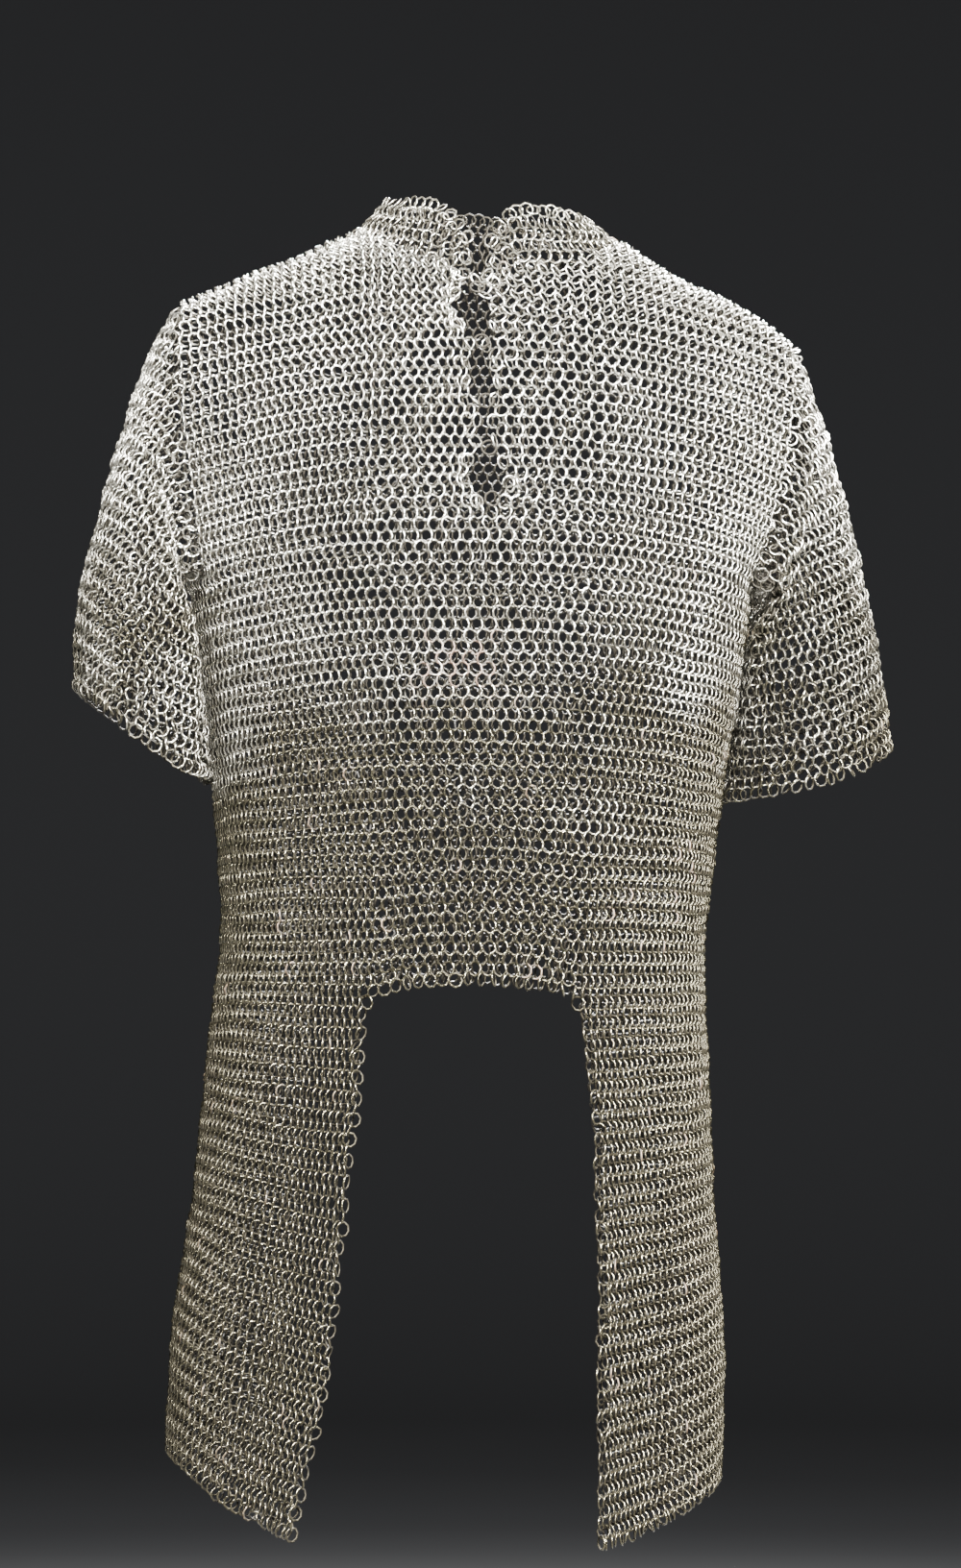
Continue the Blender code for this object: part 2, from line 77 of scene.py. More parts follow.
# front_z is the height of the row at the middle of the front and back, right_z and left_z at the
# wearer's sides. centre_x is where the middle of the body is, slit_x the front's middle line, and
# close_right and close_left how much nearer its side a hanging skirt's edge comes.
TrunkRow = namedtuple(
    "TrunkRow",
    "row front_z right_z left_z half_width front_depth back_depth bend centre_x slit_x"
    " close_right close_left",
)
TRUNK = [
    TrunkRow(0, -205, -222, -222, 175, 126, 112, 2.5, -10, -7, 0, 0),
    TrunkRow(9, -270, -286, -286, 167, 122, 106, 2.4, -11, -9, 0, 0),
    TrunkRow(18, -335, -347, -347, 158, 114, 100, 2.25, -12, -11, 0, 0),
    TrunkRow(27, -400, -405, -405, 152, 107, 98, 2.2, -13, -13, 0, 0),
    TrunkRow(34, -450, -451, -451, 149, 104, 103, 2.2, -15, -15, 0, 0),
    TrunkRow(39, -486, -484, -485, 151, 103, 110, 2.2, -17, -17, 0, 0),
    TrunkRow(50, -564, -550, -554, 156, 103, 119, 2.2, -19, -20, 4, 12),
    TrunkRow(61, -643, -614, -624, 161, 103, 123, 2.25, -21, -24, 5, 16),
    TrunkRow(74, -734, -688, -703, 169, 101, 124, 2.3, -24, -29, 9, 19),
    TrunkRow(87, -825, -766, -786, 170, 98, 122, 2.3, -27, -33, 24, 24),
]
CUT_ROW = 39
CUT_SAG = 8.0
ARMPIT_OUT = 6.0
ARMPIT_UP = 5.0
ARMPIT_ROWS = 1.6           # how many rows down the armpit's turn fades out

Ridge = namedtuple("Ridge", "share right_z left_z")
RIDGE = [
    Ridge(0.0, 0, -4),
    Ridge(0.3, -17, -26),
    Ridge(0.7, -35, -48),
    Ridge(1.0, -50, -72),
]
SHOULDER = 195.0
NECK_RISE = 4.0
NECK_MIDDLE = -14.0
NECK = EDGE * NECK_SIDE / SHOULDER

# ---------------------------------------------------------------- the sleeves' and the collar's form
SleeveRing = namedtuple(
    "SleeveRing", "outer_x outer_z inner_x inner_z half_depth back_shift front_sag"
)
SLEEVE_BEND = 2.2
SLEEVE_RIGHT = [
    SleeveRing(-212, -80, -198, -228, 64, -2, 0),
    SleeveRing(-230, -134, -187, -257, 71, -4, 1),
    SleeveRing(-245, -190, -182, -290, 76, -6, 3),
    SleeveRing(-256, -242, -178, -320, 79, -8, 6),
    SleeveRing(-256, -292, -175, -349, 81, -8, 9),
]
SLEEVE_LEFT = [
    SleeveRing(209, -104, 181, -228, 64, 2, 0),
    SleeveRing(225, -154, 168, -257, 71, 10, 1),
    SleeveRing(240, -208, 161, -293, 77, 20, 4),
    SleeveRing(253, -262, 154, -328, 80, 26, 8),
    SleeveRing(262, -324, 148, -358, 82, 30, 12),
]
COLLAR_TOP_X = 63.0
COLLAR_FRONT_Y = -59.0
COLLAR_BACK_Y = 60.0
COLLAR_FRONT_Z = 2.0
COLLAR_SIDE_Z = 14.0
COLLAR_BACK_Z = 26.0
COLLAR_LEAN = 0.10
COLLAR_HOLLOW = 0.12
SLIT_TOP = 4.5              # half the slit's width at the collar

# ---------------------------------------------------------------- how the rings are laid
ROW_STEP = 0.9285           # rows of the table above to one row of rings
BELLY_RINGS = 42            # rows of rings from the armpits down to the cut-outs
LAST_RING = 93              # the row of rings along the hem
CHEST_PITCH = 6.4           # from row to row over the middle of the chest
SHOULDER_PITCH = 5.8        # and beside the armholes
CHEST_TOP = 3.0             # from the shoulder ridge or the neckline to the nearest ring's middle
SLEEVE_COLUMNS = 60
SLEEVE_PITCH = 6.5
COLLAR_COLUMNS = 62
COLLAR_PITCH = 6.3
COLLAR_FLOP = 5.5           # half columns beside the slit where the collar's corner drops
RIM = 4.4                   # from a free edge to the middle of its rings
SLIT_FOOT_UP = 14.0         # the slit starts this far above the armpit row
SLIT_FREE = 0.40            # columns of the form beside the slit's middle that hold no ring
SLIT_REACH = 4              # columns over which the slit's opening dies away
RING_HALF_WIDTH = 4.3       # a leaning ring's half width, as the slit's edge shows it
COLUMN_WIDTH = 7.0
OVERRUN = 900.0             # a path is drawn on this far beyond its end
CORNER_DROP, CORNER_AHEAD = 13, 2       # how far the collar's corners drop and come forward
TANGLE_OUT, TANGLE_DOWN = 1.6, 2.4      # how far a tangled ring hangs out and down from its place
LEAN_LEAST, LEAN_MOST = math.radians(36), math.radians(58)
RUST_X, RUST_Z, RUST_REACH = -30, -284, 28

# How freely rings hang: 0 where they are held on all sides, more towards an edge.
LOOSE_CUT_SIDE, LOOSE_CUT_TOP, LOOSE_HEM, LOOSE_UNDER_ARM = 0.45, 0.5, 0.6, 0.3
LOOSE_NECKLINE, LOOSE_SLIT, LOOSE_SLEEVE, LOOSE_CUFF = 0.3, 0.62, 0.32, 0.7
LOOSE_COLLAR, LOOSE_CORNER, LOOSE_COLLAR_EDGE = 0.2, 0.65, 0.6

# How many degrees a ring's lean and nod stray, where it is held, and how much more as it is free.
LEAN_HELD, LEAN_FREE, NOD_HELD, NOD_FREE = 3, 24, 4, 16

# The rings stand in strands, two half strands to a ring. The columns of the form that they lie
# on, counted from the slit, at the armpits, over the belly and in the skirts: they are drawn
# apart over the middle of the front and bunch up towards the sides.
Strand = namedtuple("Strand", "half armpits belly skirts")
STRANDS = [
    Strand(0, 0.0, 0.0, 0.0), Strand(7, 3.9, 4.6, 4.0), Strand(18, 9.8, 11.0, 10.0),
    Strand(38, 18.3, 20.0, 16.6), Strand(76, 33.0, 33.0, 33.0), Strand(146, 66.0, 66.0, 66.0),
]
ARMPIT_ROW, BELLY_ROW, SKIRT_ROW = 4, 26, 46
HALVES = 292                # half strands all round
BACK_HALF = HALVES // 2

# Half the width of the slit at heights down the chest, and how far its middle stands aside.
SlitGap = namedtuple("SlitGap", "z gap aside")
SLIT_GAPS = [
    SlitGap(-210, 0.0, 0), SlitGap(-190, 0.3, -1), SlitGap(-183, 5.5, -1), SlitGap(-172, 9.0, -1.5),
    SlitGap(-162, 7.5, -2), SlitGap(-154, 1.0, -2), SlitGap(-123, 0.6, -2), SlitGap(-118, 4.2, -3),
    SlitGap(-108, 5.2, -3), SlitGap(-99, 4.6, -3), SlitGap(-93, 0.4, -4), SlitGap(-87, 1.4, -4),
    SlitGap(-81, 6.0, -4), SlitGap(-66, 9.0, -4.5), SlitGap(-56, 8.0, -4.5), SlitGap(-49, 0.4, -5),
    SlitGap(-42, 1.0, -6), SlitGap(-35, 6.0, -6), SlitGap(-22, 7.0, -6), SlitGap(-12, 5.0, -5),
    SlitGap(-4, 6.0, -4),
]


def read_between(table, key, at):
    """The table's columns at a value of its key column, on a smooth curve through its rows."""
    keys = [getattr(row, key) for row in table]
    values = np.array(table, float)
    at = min(max(at, keys[0]), keys[-1])
    i = min(int(np.searchsorted(keys, at, side="right")) - 1, len(keys) - 2)
    span = keys[i + 1] - keys[i]
    t = (at - keys[i]) / span

    def slope(k):
        low, high = max(k - 1, 0), min(k + 1, len(keys) - 1)
        return (values[high] - values[low]) / (keys[high] - keys[low])

    a, b = values[i], values[i + 1]
    ease = (1 + 2 * t) * (1 - t) ** 2 * a + t * t * (3 - 2 * t) * b
    ease += span * (t * (1 - t) ** 2 * slope(i) - t * t * (1 - t) * slope(i + 1))
    return type(table[0])(*ease)


def power(value, exponent):
    return math.copysign(abs(value) ** exponent, value)


def trunk_outline(row, steps=240):
    """Points of one row all round, from the middle of the front towards the wearer's left."""
    s = read_between(TRUNK, "row", row)
    points = []
    for k in range(steps + 1):
        angle = 2 * math.pi * k / steps
        across, along = power(math.sin(angle), 2 / s.bend), power(math.cos(angle), 2 / s.bend)
        depth = s.front_depth if along > 0 else s.back_depth
        side_z = s.left_z if across > 0 else s.right_z
        z = s.front_z + (side_z - s.front_z) * math.sin(angle) ** 2
        points.append((s.centre_x + s.half_width * across, -depth * along, z))
    return np.array(points)


outlines = {}


def on_trunk(row, column):
    """The point of the trunk's middle surface at a row and a column of rings."""
    if row not in outlines:
        points = trunk_outline(row)
        lengths = np.r_[0, np.cumsum(np.linalg.norm(np.diff(points[:, :2], axis=0), axis=1))]
        outlines[row] = points, lengths, read_between(TRUNK, "row", row)
    points, lengths, s = outlines[row]
    at = column / COLUMNS * lengths[-1] + s.slit_x - s.centre_x
    if row > CUT_ROW:
        ahead = (SIDE - abs(column)) / (SIDE - FRONT_CUT)
        at += (s.close_left if column > 0 else -s.close_right) * ahead * abs(ahead)
    at %= lengths[-1]
    return np.array([np.interp(at, lengths, points[:, k]) for k in range(3)])


def ridge_point(share):
    """The shoulder ridge from the wearer's right shoulder point, -1, over the neck to the left, 1."""
    x = share * SHOULDER
    beside = (abs(x) - NECK_SIDE) / (SHOULDER - NECK_SIDE)
    if beside < 0:
        side = (x / NECK_SIDE + 1) / 2
        z = RIDGE[0].right_z + (RIDGE[0].left_z - RIDGE[0].right_z) * side
        return np.array([x, RIDGE_Y, z + NECK_RISE * (1 - (x / NECK_SIDE) ** 2)])
    s = read_between(RIDGE, "share", beside)
    return np.array([x, RIDGE_Y, s.right_z if x < 0 else s.left_z])


def on_chest(column, climb):
    """The point over a column of the front (or back, past SIDE) at a climb from 0 to 1."""
    front = abs(column) <= SIDE
    foot = on_trunk(0, column)
    beside = column if front else math.copysign(BACK - abs(column), column)
    top = ridge_point(beside / EDGE)
    if front:
        top[0] += NECK_MIDDLE * max(0.0, 1 - abs(column) / NECK)
    square = ARCH_FRONT if front else ARCH_BACK
    square = 2 / (square + (ARCH_SHOULDER - square) * abs(beside / EDGE) ** 3)
    rise = math.sin(climb * math.pi / 2) ** square
    reach = math.cos(climb * math.pi / 2) ** square if climb < 1 else 0.0
    x = foot[0] + (top[0] - foot[0]) * (1 - (1 - rise) ** 2)
    y = top[1] + (foot[1] - top[1]) * reach
    z = foot[2] + (top[2] - foot[2]) * rise
    return np.array([x, y, z])


def neck_depth(x, front):
    """How far from the ridge line the neck opening's edge is at this x, or 0 outside it."""
    inside = 1 - (x / NECK_SIDE) ** 2
    return (NECK_FRONT if front else NECK_BACK) * math.sqrt(inside) if inside > 0 else 0.0


def neck_climb(column):
    """The climb at which a column meets the neck opening, or 1 where it reaches the ridge."""
    front = abs(column) <= SIDE
    if (abs(column) if front else BACK - abs(column)) > NECK - 0.01:
        return 1.0
    low, high = 0.0, 1.0
    for _ in range(40):
        middle = (low + high) / 2
        x, y, _z = on_chest(column, middle)
        if abs(y - RIDGE_Y) > neck_depth(x, front):
            low = middle
        else:
            high = middle
    return high


def signed(column):
    """The column counted the short way from the middle of the front."""
    return column if column <= BACK else column - COLUMNS


def column_of(half, row=0.0):
    """Where a half strand lies round the trunk, as a signed column, at a row."""
    half = (half + BACK_HALF) % HALVES - BACK_HALF
    halves = [strand.half for strand in STRANDS]
    places = [np.interp(abs(half), halves, [strand[k] for strand in STRANDS]) for k in (1, 2, 3)]
    return math.copysign(np.interp(row, (ARMPIT_ROW, BELLY_ROW, SKIRT_ROW), places), half)


def row_point(column, row):
    """A point of the front, the back or the skirts, from the armpits down."""
    column = signed(column)
    point = on_trunk(row, column)
    cut, middle = (FRONT_CUT, 0) if abs(column) <= SIDE else (BACK_CUT, BACK)
    beside = abs(abs(column) - middle) / cut
    if beside < 1:
        nearness = max(0.0, 1 - 2 * (CUT_ROW - row) / CUT_ROW)
        point[2] += CUT_SAG * (1 - beside ** 2) * nearness
    under = 1 - abs(abs(column) - SIDE) / ARMHOLE
    if row < ARMPIT_ROWS and under > 0:
        turn = math.sin(under * math.pi / 2) * (1 - row / ARMPIT_ROWS)
        point += [math.copysign(ARMPIT_OUT * turn, column), 0, ARMPIT_UP * turn]
    return point


# ---------------------------------------------------------------- paths of the columns of rings
def chest_path(column, steps=48):
    """From the armpit row up to the neck opening or the shoulder ridge."""
    top = neck_climb(column)
    return np.array([on_chest(column, top * k / steps) for k in range(steps + 1)])


def eased(before, a, b, later, t):
    """The point at t of the way from a to b, on a smooth curve through four points."""
    return (
        (1 + 2 * t) * (1 - t) ** 2 * a + t * t * (3 - 2 * t) * b
        + t * (1 - t) ** 2 * (b - before) / 2 - t * t * (1 - t) * (later - a) / 2
    )


def smooth_loop(points, count):
    """Even steps round a closed loop, on a smooth curve through its points."""
    points = np.array(points)
    before, after, later = (np.roll(points, -k, axis=0) for k in (-1, 1, 2))
    shares = np.linspace(0, 1, 6, endpoint=False)
    fine = [eased(before, points, after, later, t) for t in shares]
    fine = np.stack(fine, 1).reshape(-1, 3)
    fine = np.vstack([fine, fine[:1]])
    return along(fine, np.linspace(0, 1, count, endpoint=False))


def along(points, shares):
    """Points at shares of the way along a path."""
    lengths = np.r_[0, np.cumsum(np.linalg.norm(np.diff(points, axis=0), axis=1))]
    at = np.asarray(shares) * lengths[-1]
    return np.stack([np.interp(at, lengths, points[:, k]) for k in range(3)], 1)


def armhole_loop(side):
    """Places round an armhole: from the ridge down the front edge, under the arm, up the back."""
    shares = np.linspace(0, 1, 13)
    front = along(chest_path(side * EDGE), shares)[::-1]
    back = along(chest_path(side * (BACK - EDGE)), shares)[:-1]
    under = [row_point(side * c, 0) for c in np.linspace(EDGE, BACK - EDGE, 9)[1:-1]]
    return np.vstack([front, under, back])


def sleeve_paths(table, side):
    """The sleeve's columns of rings, each from the hem up to the armhole."""
    loop = armhole_loop(side)
    top, foot = loop[0], row_point(side * SIDE, 0)
    middle, reach = (top + foot) / 2, (top - foot) / 2
    widest = np.abs(loop[:, 1] - middle[1]).max()
    places = [((p - middle) @ reach / (reach @ reach), (p[1] - middle[1]) / widest) for p in loop]
    rings = [loop]
    for number, s in enumerate(table, 1):
        rounded = number / len(table)
        outer, inner = np.array((s.outer_x, 0, s.outer_z)), np.array((s.inner_x, 0, s.inner_z))
        centre = (outer + inner) / 2 + (0, RIDGE_Y + s.back_shift, 0)
        ring = []
        for up, back in places:
            turn = math.atan2(back, up)
            up += (power(math.cos(turn), 2 / SLEEVE_BEND) - up) * rounded
            back += (power(math.sin(turn), 2 / SLEEVE_BEND) - back) * rounded
            sag = s.front_sag * min(0.0, back) ** 2
            ring.append(centre + (outer - inner) / 2 * up + (0, s.half_depth * back, -sag))
        rings.append(ring)
    rings = np.array([smooth_loop(ring, 2 * SLEEVE_COLUMNS) for ring in rings])
    return [smooth_path(rings[:, k])[::-1] for k in range(2 * SLEEVE_COLUMNS)]


def smooth_path(points, fine=8):
    """A smooth curve through a path's points."""
    ends = np.vstack([2 * points[0] - points[1], points, 2 * points[-1] - points[-2]])
    before, a, b, later = ends[:-3], ends[1:-2], ends[2:-1], ends[3:]
    made = [eased(before, a, b, later, t) for t in np.linspace(0, 1, fine, endpoint=False)]
    return np.vstack([np.stack(made, 1).reshape(-1, 3), points[-1:]])


def collar_paths():
    """The collar's columns of rings, each from the upper edge down to the neckline."""
    columns = np.r_[np.linspace(0, NECK, 30), BACK - np.linspace(NECK, 0, 30)[1:]]
    left = np.array([chest_path(c, 8)[-1] for c in columns])
    right = np.array([chest_path(-c, 8)[-1] for c in columns])
    loop = np.vstack([left, right[::-1][1:]])
    length = np.linalg.norm(np.diff(loop, axis=0), axis=1).sum()
    gap = (SLIT_TOP + RIM) / length
    feet = along(loop, np.linspace(gap, 1 - gap, 2 * COLLAR_COLUMNS + 1))
    return [np.array([collar_point(foot, t) for t in np.linspace(1, 0, 9)]) for foot in feet]


def collar_point(foot, share):
    """The collar's surface over a point of its foot, at a share of the way up."""
    depth = NECK_FRONT if foot[1] < RIDGE_Y else NECK_BACK
    turn = math.atan2(foot[0] / NECK_SIDE, -(foot[1] - RIDGE_Y) / depth)
    x, ahead = COLLAR_TOP_X * math.sin(turn), math.cos(turn)
    y, z = (COLLAR_FRONT_Y, COLLAR_FRONT_Z) if ahead > 0 else (COLLAR_BACK_Y, COLLAR_BACK_Z)
    height = COLLAR_SIDE_Z + (z - COLLAR_SIDE_Z) * ahead ** 2 - COLLAR_LEAN * x
    in_by = share + COLLAR_HOLLOW * math.sin(math.pi * share)
    return np.array([
        foot[0] + (x - foot[0]) * in_by,
        foot[1] + (y * abs(ahead) - foot[1]) * in_by,
        foot[2] + (height - foot[2]) * share,
    ])


# ---------------------------------------------------------------- fields of rings
rng = np.random.default_rng(7)
KEYS = "at down across out width pitch lean loose half row".split()


def ring_field(points, kept, fall, first_row, first_half, loose, closed=False):
    """Rings at every other place of a grid of places, with their own down, across and out.

    points has a place for each row of rings and half column; fall is 1 where its rows run down
    the garment and -1 where they run up, and loose tells how freely each ring hangs.
    """
    rows, halves = np.indices(kept.shape)
    rows, halves = rows * fall + first_row, halves + first_half
    kept = kept & ((rows + halves) % 2 == 0)
    side = np.roll(points, -1, 1) - np.roll(points, 1, 1)
    if not closed:
        side[:, 0], side[:, -1] = side[:, 1], side[:, -2]
    down = np.gradient(points, axis=0)[kept] * fall
    side = side[kept]
    pitch = np.linalg.norm(down, axis=1)
    down /= pitch[:, None]
    across = side - (side * down).sum(1)[:, None] * down
    width = np.linalg.norm(across, axis=1)
    across /= width[:, None]
    out, at = np.cross(down, across), points[kept]
    if (out * (at - at.mean(0))).sum() < 0:
        out = -out
    lean = np.where(rows % 2 == 0, 1.0, -1.0)
    field = at, down, across, out, width, pitch, lean[kept], loose[kept], halves[kept], rows[kept]
    return dict(zip(KEYS, field))


def joined(*fields):
    return {key: np.concatenate([field[key] for field in fields]) for key in KEYS}


def part_of(field, chosen):
    return {key: field[key][chosen] for key in KEYS}


def laid_along(paths, pitches, start):
    """Places along each path at its own pitch, and how much of the path is left beyond each."""
    paths = list(paths)
    lengths = [np.linalg.norm(np.diff(path, axis=0), axis=1).sum() for path in paths]
    count = int(max(length / pitch for length, pitch in zip(lengths, pitches))) + 2
    places, left = np.empty((count, len(paths), 3)), np.empty((count, len(paths)))
    for k, (path, length, pitch) in enumerate(zip(paths, lengths, pitches)):
        end = path[-1] - path[-2]
        path = np.vstack([path, path[-1] + end / np.linalg.norm(end) * OVERRUN])
        at = start * pitch + pitch * np.arange(count)
        places[:, k] = along(path, at / (length + OVERRUN))
        left[:, k] = length - at
    return places, left


def trunk_rings():
    """The rings from the armpits down to the hem: the front's, the back's and the two skirts'."""
    rows, halves = np.arange(LAST_RING + 1), np.arange(HALVES)
    column = np.array([[column_of(j, n * ROW_STEP) for j in halves] for n in rows])
    points = np.array([[row_point(c, n * ROW_STEP) for c in column[n]] for n in rows])
    n = np.indices(column.shape)[0]
    ahead, behind = np.abs(column), BACK - np.abs(column)
    skirt = (ahead > FRONT_CUT + 0.3) & (behind > BACK_CUT + 0.3)
    rim = np.minimum(ahead - FRONT_CUT, behind - BACK_CUT)
    loose = np.zeros(n.shape)
    loose[(n >= BELLY_RINGS) & (rim < 1.2)] = LOOSE_CUT_SIDE
    loose[(n >= BELLY_RINGS - 1) & ~skirt] = LOOSE_CUT_TOP
    loose[n >= LAST_RING] = LOOSE_HEM
    loose[(n == 0) & (np.abs(ahead - SIDE) < ARMHOLE)] = LOOSE_UNDER_ARM
    field = ring_field(points, (n < BELLY_RINGS) | skirt, 1, 0, 0, loose, closed=True)
    column = column[field["row"], field["half"]]
    belly, front = field["row"] < BELLY_RINGS, np.abs(column) <= SIDE
    return (
        part_of(field, belly & front), part_of(field, belly & ~front),
        part_of(field, ~belly & (column < 0)), part_of(field, ~belly & (column > 0)),
    )


def chest_rings(front):
    """The rings over the chest or the shoulder blades, from the armpits up to the shoulders."""
    near, far = (-BACK_HALF, BACK_HALF) if front else (0, HALVES)
    middle = 0 if front else BACK
    halves = [j for j in range(near, far) if abs(abs(column_of(j)) - middle) <= EDGE]
    column = np.array([column_of(j) for j in halves])
    beside = np.abs(np.abs(column) - middle)
    pitches = CHEST_PITCH + (SHOULDER_PITCH - CHEST_PITCH) * (beside / EDGE) ** 2
    paths = [chest_path(c) for c in column]
    places, left = laid_along(paths, pitches, 1)
    beside = np.tile(beside, (len(places), 1))
    kept, loose = left > CHEST_TOP, np.where(left < CHEST_TOP + 4, LOOSE_NECKLINE, 0.0)
    if front:
        foot = chest_path(0.0)[0, 2] + SLIT_FOOT_UP
        kept &= (places[..., 2] < foot) | (beside > SLIT_FREE)
        near_slit = np.clip(1 - (beside - SLIT_FREE) / 2.6, 0, 1) * (places[..., 2] > foot)
        loose = np.maximum(loose, LOOSE_SLIT * near_slit)
        at = [[g.z for g in SLIT_GAPS], [g.gap for g in SLIT_GAPS], [g.aside for g in SLIT_GAPS]]
        first = beside[0][beside[0] > SLIT_FREE].min()
        push = np.interp(places[..., 2], at[0], at[1]) + RING_HALF_WIDTH - COLUMN_WIDTH * first
        push *= np.sign(column)[None, :]
        push += np.interp(places[..., 2], at[0], at[2])
        push *= np.clip((SLIT_REACH - beside) / (SLIT_REACH - first), 0, 1) ** 1.3
        places[..., 0] += push * (places[..., 2] > foot - 6)
    return with_tangles(ring_field(places, kept, -1, -1, halves[0], loose), 0.45, 0.45)


def with_tangles(field, from_loose, share):
    """The rings, and more that hang across the loosest of them."""
    chosen = (field["loose"] > from_loose) & (rng.uniform(size=len(field["loose"])) < share)
    extra = part_of(field, chosen)
    extra["at"] = extra["at"] + TANGLE_OUT * extra["out"] + TANGLE_DOWN * extra["down"]
    extra["lean"] = -1.4 * extra["lean"]
    extra["loose"] = extra["loose"] + 0.3
    return joined(field, extra)


def sleeve_rings(table, side):
    """One sleeve's rings, in rows that lie with its hem."""
    paths = sleeve_paths(table, side)
    places, left = laid_along(paths, [SLEEVE_PITCH] * len(paths), RIM / SLEEVE_PITCH)
    loose = np.full(left.shape, LOOSE_SLEEVE)
    loose[0] = LOOSE_CUFF
    return ring_field(places, left > 2.5, -1, 0, 0, loose, closed=True)


# How much higher the collar's edge stands than its lean gives, over places across its foot.
EdgeRise = namedtuple("EdgeRise", "x rise")
EDGE_RISES = [
    EdgeRise(-75, 1), EdgeRise(-50, 3.5), EdgeRise(-30, 1), EdgeRise(-16, -1), EdgeRise(-2, 0),
    EdgeRise(8, 5), EdgeRise(24, 8.5), EdgeRise(45, 7), EdgeRise(62, 5), EdgeRise(78, 1),
]


def collar_rings():
    """The collar's rings, in rows that lie with its upper edge."""
    paths = collar_paths()
    ends = np.minimum(np.arange(len(paths)), len(paths) - 1 - np.arange(len(paths)))
    near = np.clip(1 - ends / COLLAR_FLOP, 0, 1)
    places, left = laid_along(paths, [COLLAR_PITCH] * len(paths), RIM / COLLAR_PITCH)
    feet = np.array([path[-1] for path in paths])
    rise = np.interp(feet[:, 0], [e.x for e in EDGE_RISES], [e.rise for e in EDGE_RISES])
    rise *= feet[:, 1] < RIDGE_Y
    places[..., 2] += np.clip(1 - np.arange(len(places)) / 5, 0, 1)[:, None] * rise
    places[..., 2] -= CORNER_DROP * near ** 1.5
    places[..., 1] -= CORNER_AHEAD * near
    loose = np.maximum(np.full(left.shape, LOOSE_COLLAR), LOOSE_CORNER * near)
    loose[0] = LOOSE_COLLAR_EDGE
    field = ring_field(places, left > -2, 1, 0, 0, loose)
    field["lean"][field["row"] == 0] *= 0.3
    return with_tangles(field, 0.62, 0.35)


# ---------------------------------------------------------------- the rings themselves
def ring_pattern():
    """One ring of wire round Z, with a strip of its own UV map for each side of the wire."""
    bm = bmesh.new()
    made = bmesh.ops.create_circle(bm, segments=WIRE_SIDES, radius=WIRE_CORNER * MM)
    bmesh.ops.rotate(bm, verts=made["verts"], matrix=Matrix.Rotation(math.pi / 2, 3, "X"))
    bmesh.ops.translate(bm, verts=made["verts"], vec=(RADIUS * MM, 0, 0))
    bmesh.ops.spin(
        bm, geom=bm.verts[:] + bm.edges[:], axis=(0, 0, 1), cent=(0, 0, 0),
        angle=2 * math.pi, steps=RING_STEPS, use_merge=True,
    )
    bmesh.ops.remove_doubles(bm, verts=bm.verts[:], dist=0.01 * MM)
    bmesh.ops.recalc_face_normals(bm, faces=bm.faces[:])
    strip = bm.loops.layers.uv.new("strip")

    def places(point):
        round_ring = math.atan2(point.y, point.x) / (2 * math.pi)
        from_wire = math.hypot(point.x, point.y) - RADIUS * MM
        return round_ring, math.atan2(point.z, from_wire) / (2 * math.pi)

    for face in bm.faces:
        face.smooth = True
        middle = places(face.calc_center_median())
        for loop in face.loops:
            uv = []
            for at, centre, steps in zip(places(loop.vert.co), middle, (RING_STEPS, WIRE_SIDES)):
                step = math.floor(centre % 1 * steps)
                beyond = (at - centre + 0.5) % 1 > 0.5
                uv.append((step + beyond) / steps * 0.84 + 0.08)
            loop[strip].uv = uv
    mesh = bpy.data.meshes.new("ring_pattern")
    bm.to_mesh(mesh)
    bm.free()
    pattern = bpy.data.objects.new("ring_pattern", mesh)
    bpy.context.scene.collection.objects.link(pattern)
    return pattern


def laying_nodes(pattern):
    """Geometry nodes that put the pattern ring on every point and make one mesh of them all."""
    tree = bpy.data.node_groups.new("lay_rings", "GeometryNodeTree")
    tree.interface.new_socket("Geometry", in_out="INPUT", socket_type="NodeSocketGeometry")
    tree.interface.new_socket("Geometry", in_out="OUTPUT", socket_type="NodeSocketGeometry")
    new, link = tree.nodes.new, tree.links.new
    given, made = new("NodeGroupInput"), new("NodeGroupOutput")
    ring, lay = new("GeometryNodeObjectInfo"), new("GeometryNodeInstanceOnPoints")
    ring.inputs["Object"].default_value = pattern
    turn = new("GeometryNodeInputNamedAttribute")
    turn.data_type = "QUATERNION"
    turn.inputs["Name"].default_value = "turn"
    real, store = new("GeometryNodeRealizeInstances"), new("GeometryNodeStoreNamedAttribute")
    link(given.outputs[0], lay.inputs["Points"])
    link(ring.outputs["Geometry"], lay.inputs["Instance"])
    link(turn.outputs["Attribute"], lay.inputs["Rotation"])
    link(lay.outputs["Instances"], real.inputs["Geometry"])
    link(real.outputs["Geometry"], store.inputs["Geometry"])
    store.data_type, store.domain = "FLOAT2", "CORNER"
    store.inputs["Name"].default_value = "OFBake"
    place = new("ShaderNodeVectorMath")
    place.operation = "MULTIPLY_ADD"
    for name, socket in (("strip", 0), ("cell_size", 1), ("cell", 2)):
        read = new("GeometryNodeInputNamedAttribute")
        read.data_type = "FLOAT_VECTOR"
        read.inputs["Name"].default_value = name
        link(read.outputs["Attribute"], place.inputs[socket])
    link(place.outputs[0], store.inputs["Value"])
    link(store.outputs["Geometry"], made.inputs[0])
    return tree


def unevenness(at, scale, seed):
    """A smooth field of values near -1 to 1 over the places, which changes over about scale."""
    waves = np.random.default_rng(seed)
    total = 0
    for _ in range(5):
        way = waves.normal(size=3)
        way *= 2 * math.pi / scale / np.linalg.norm(way) * waves.uniform(0.6, 1.5)
        total = total + np.sin(at @ way + waves.uniform(0, 2 * math.pi))
    return total / 2.4


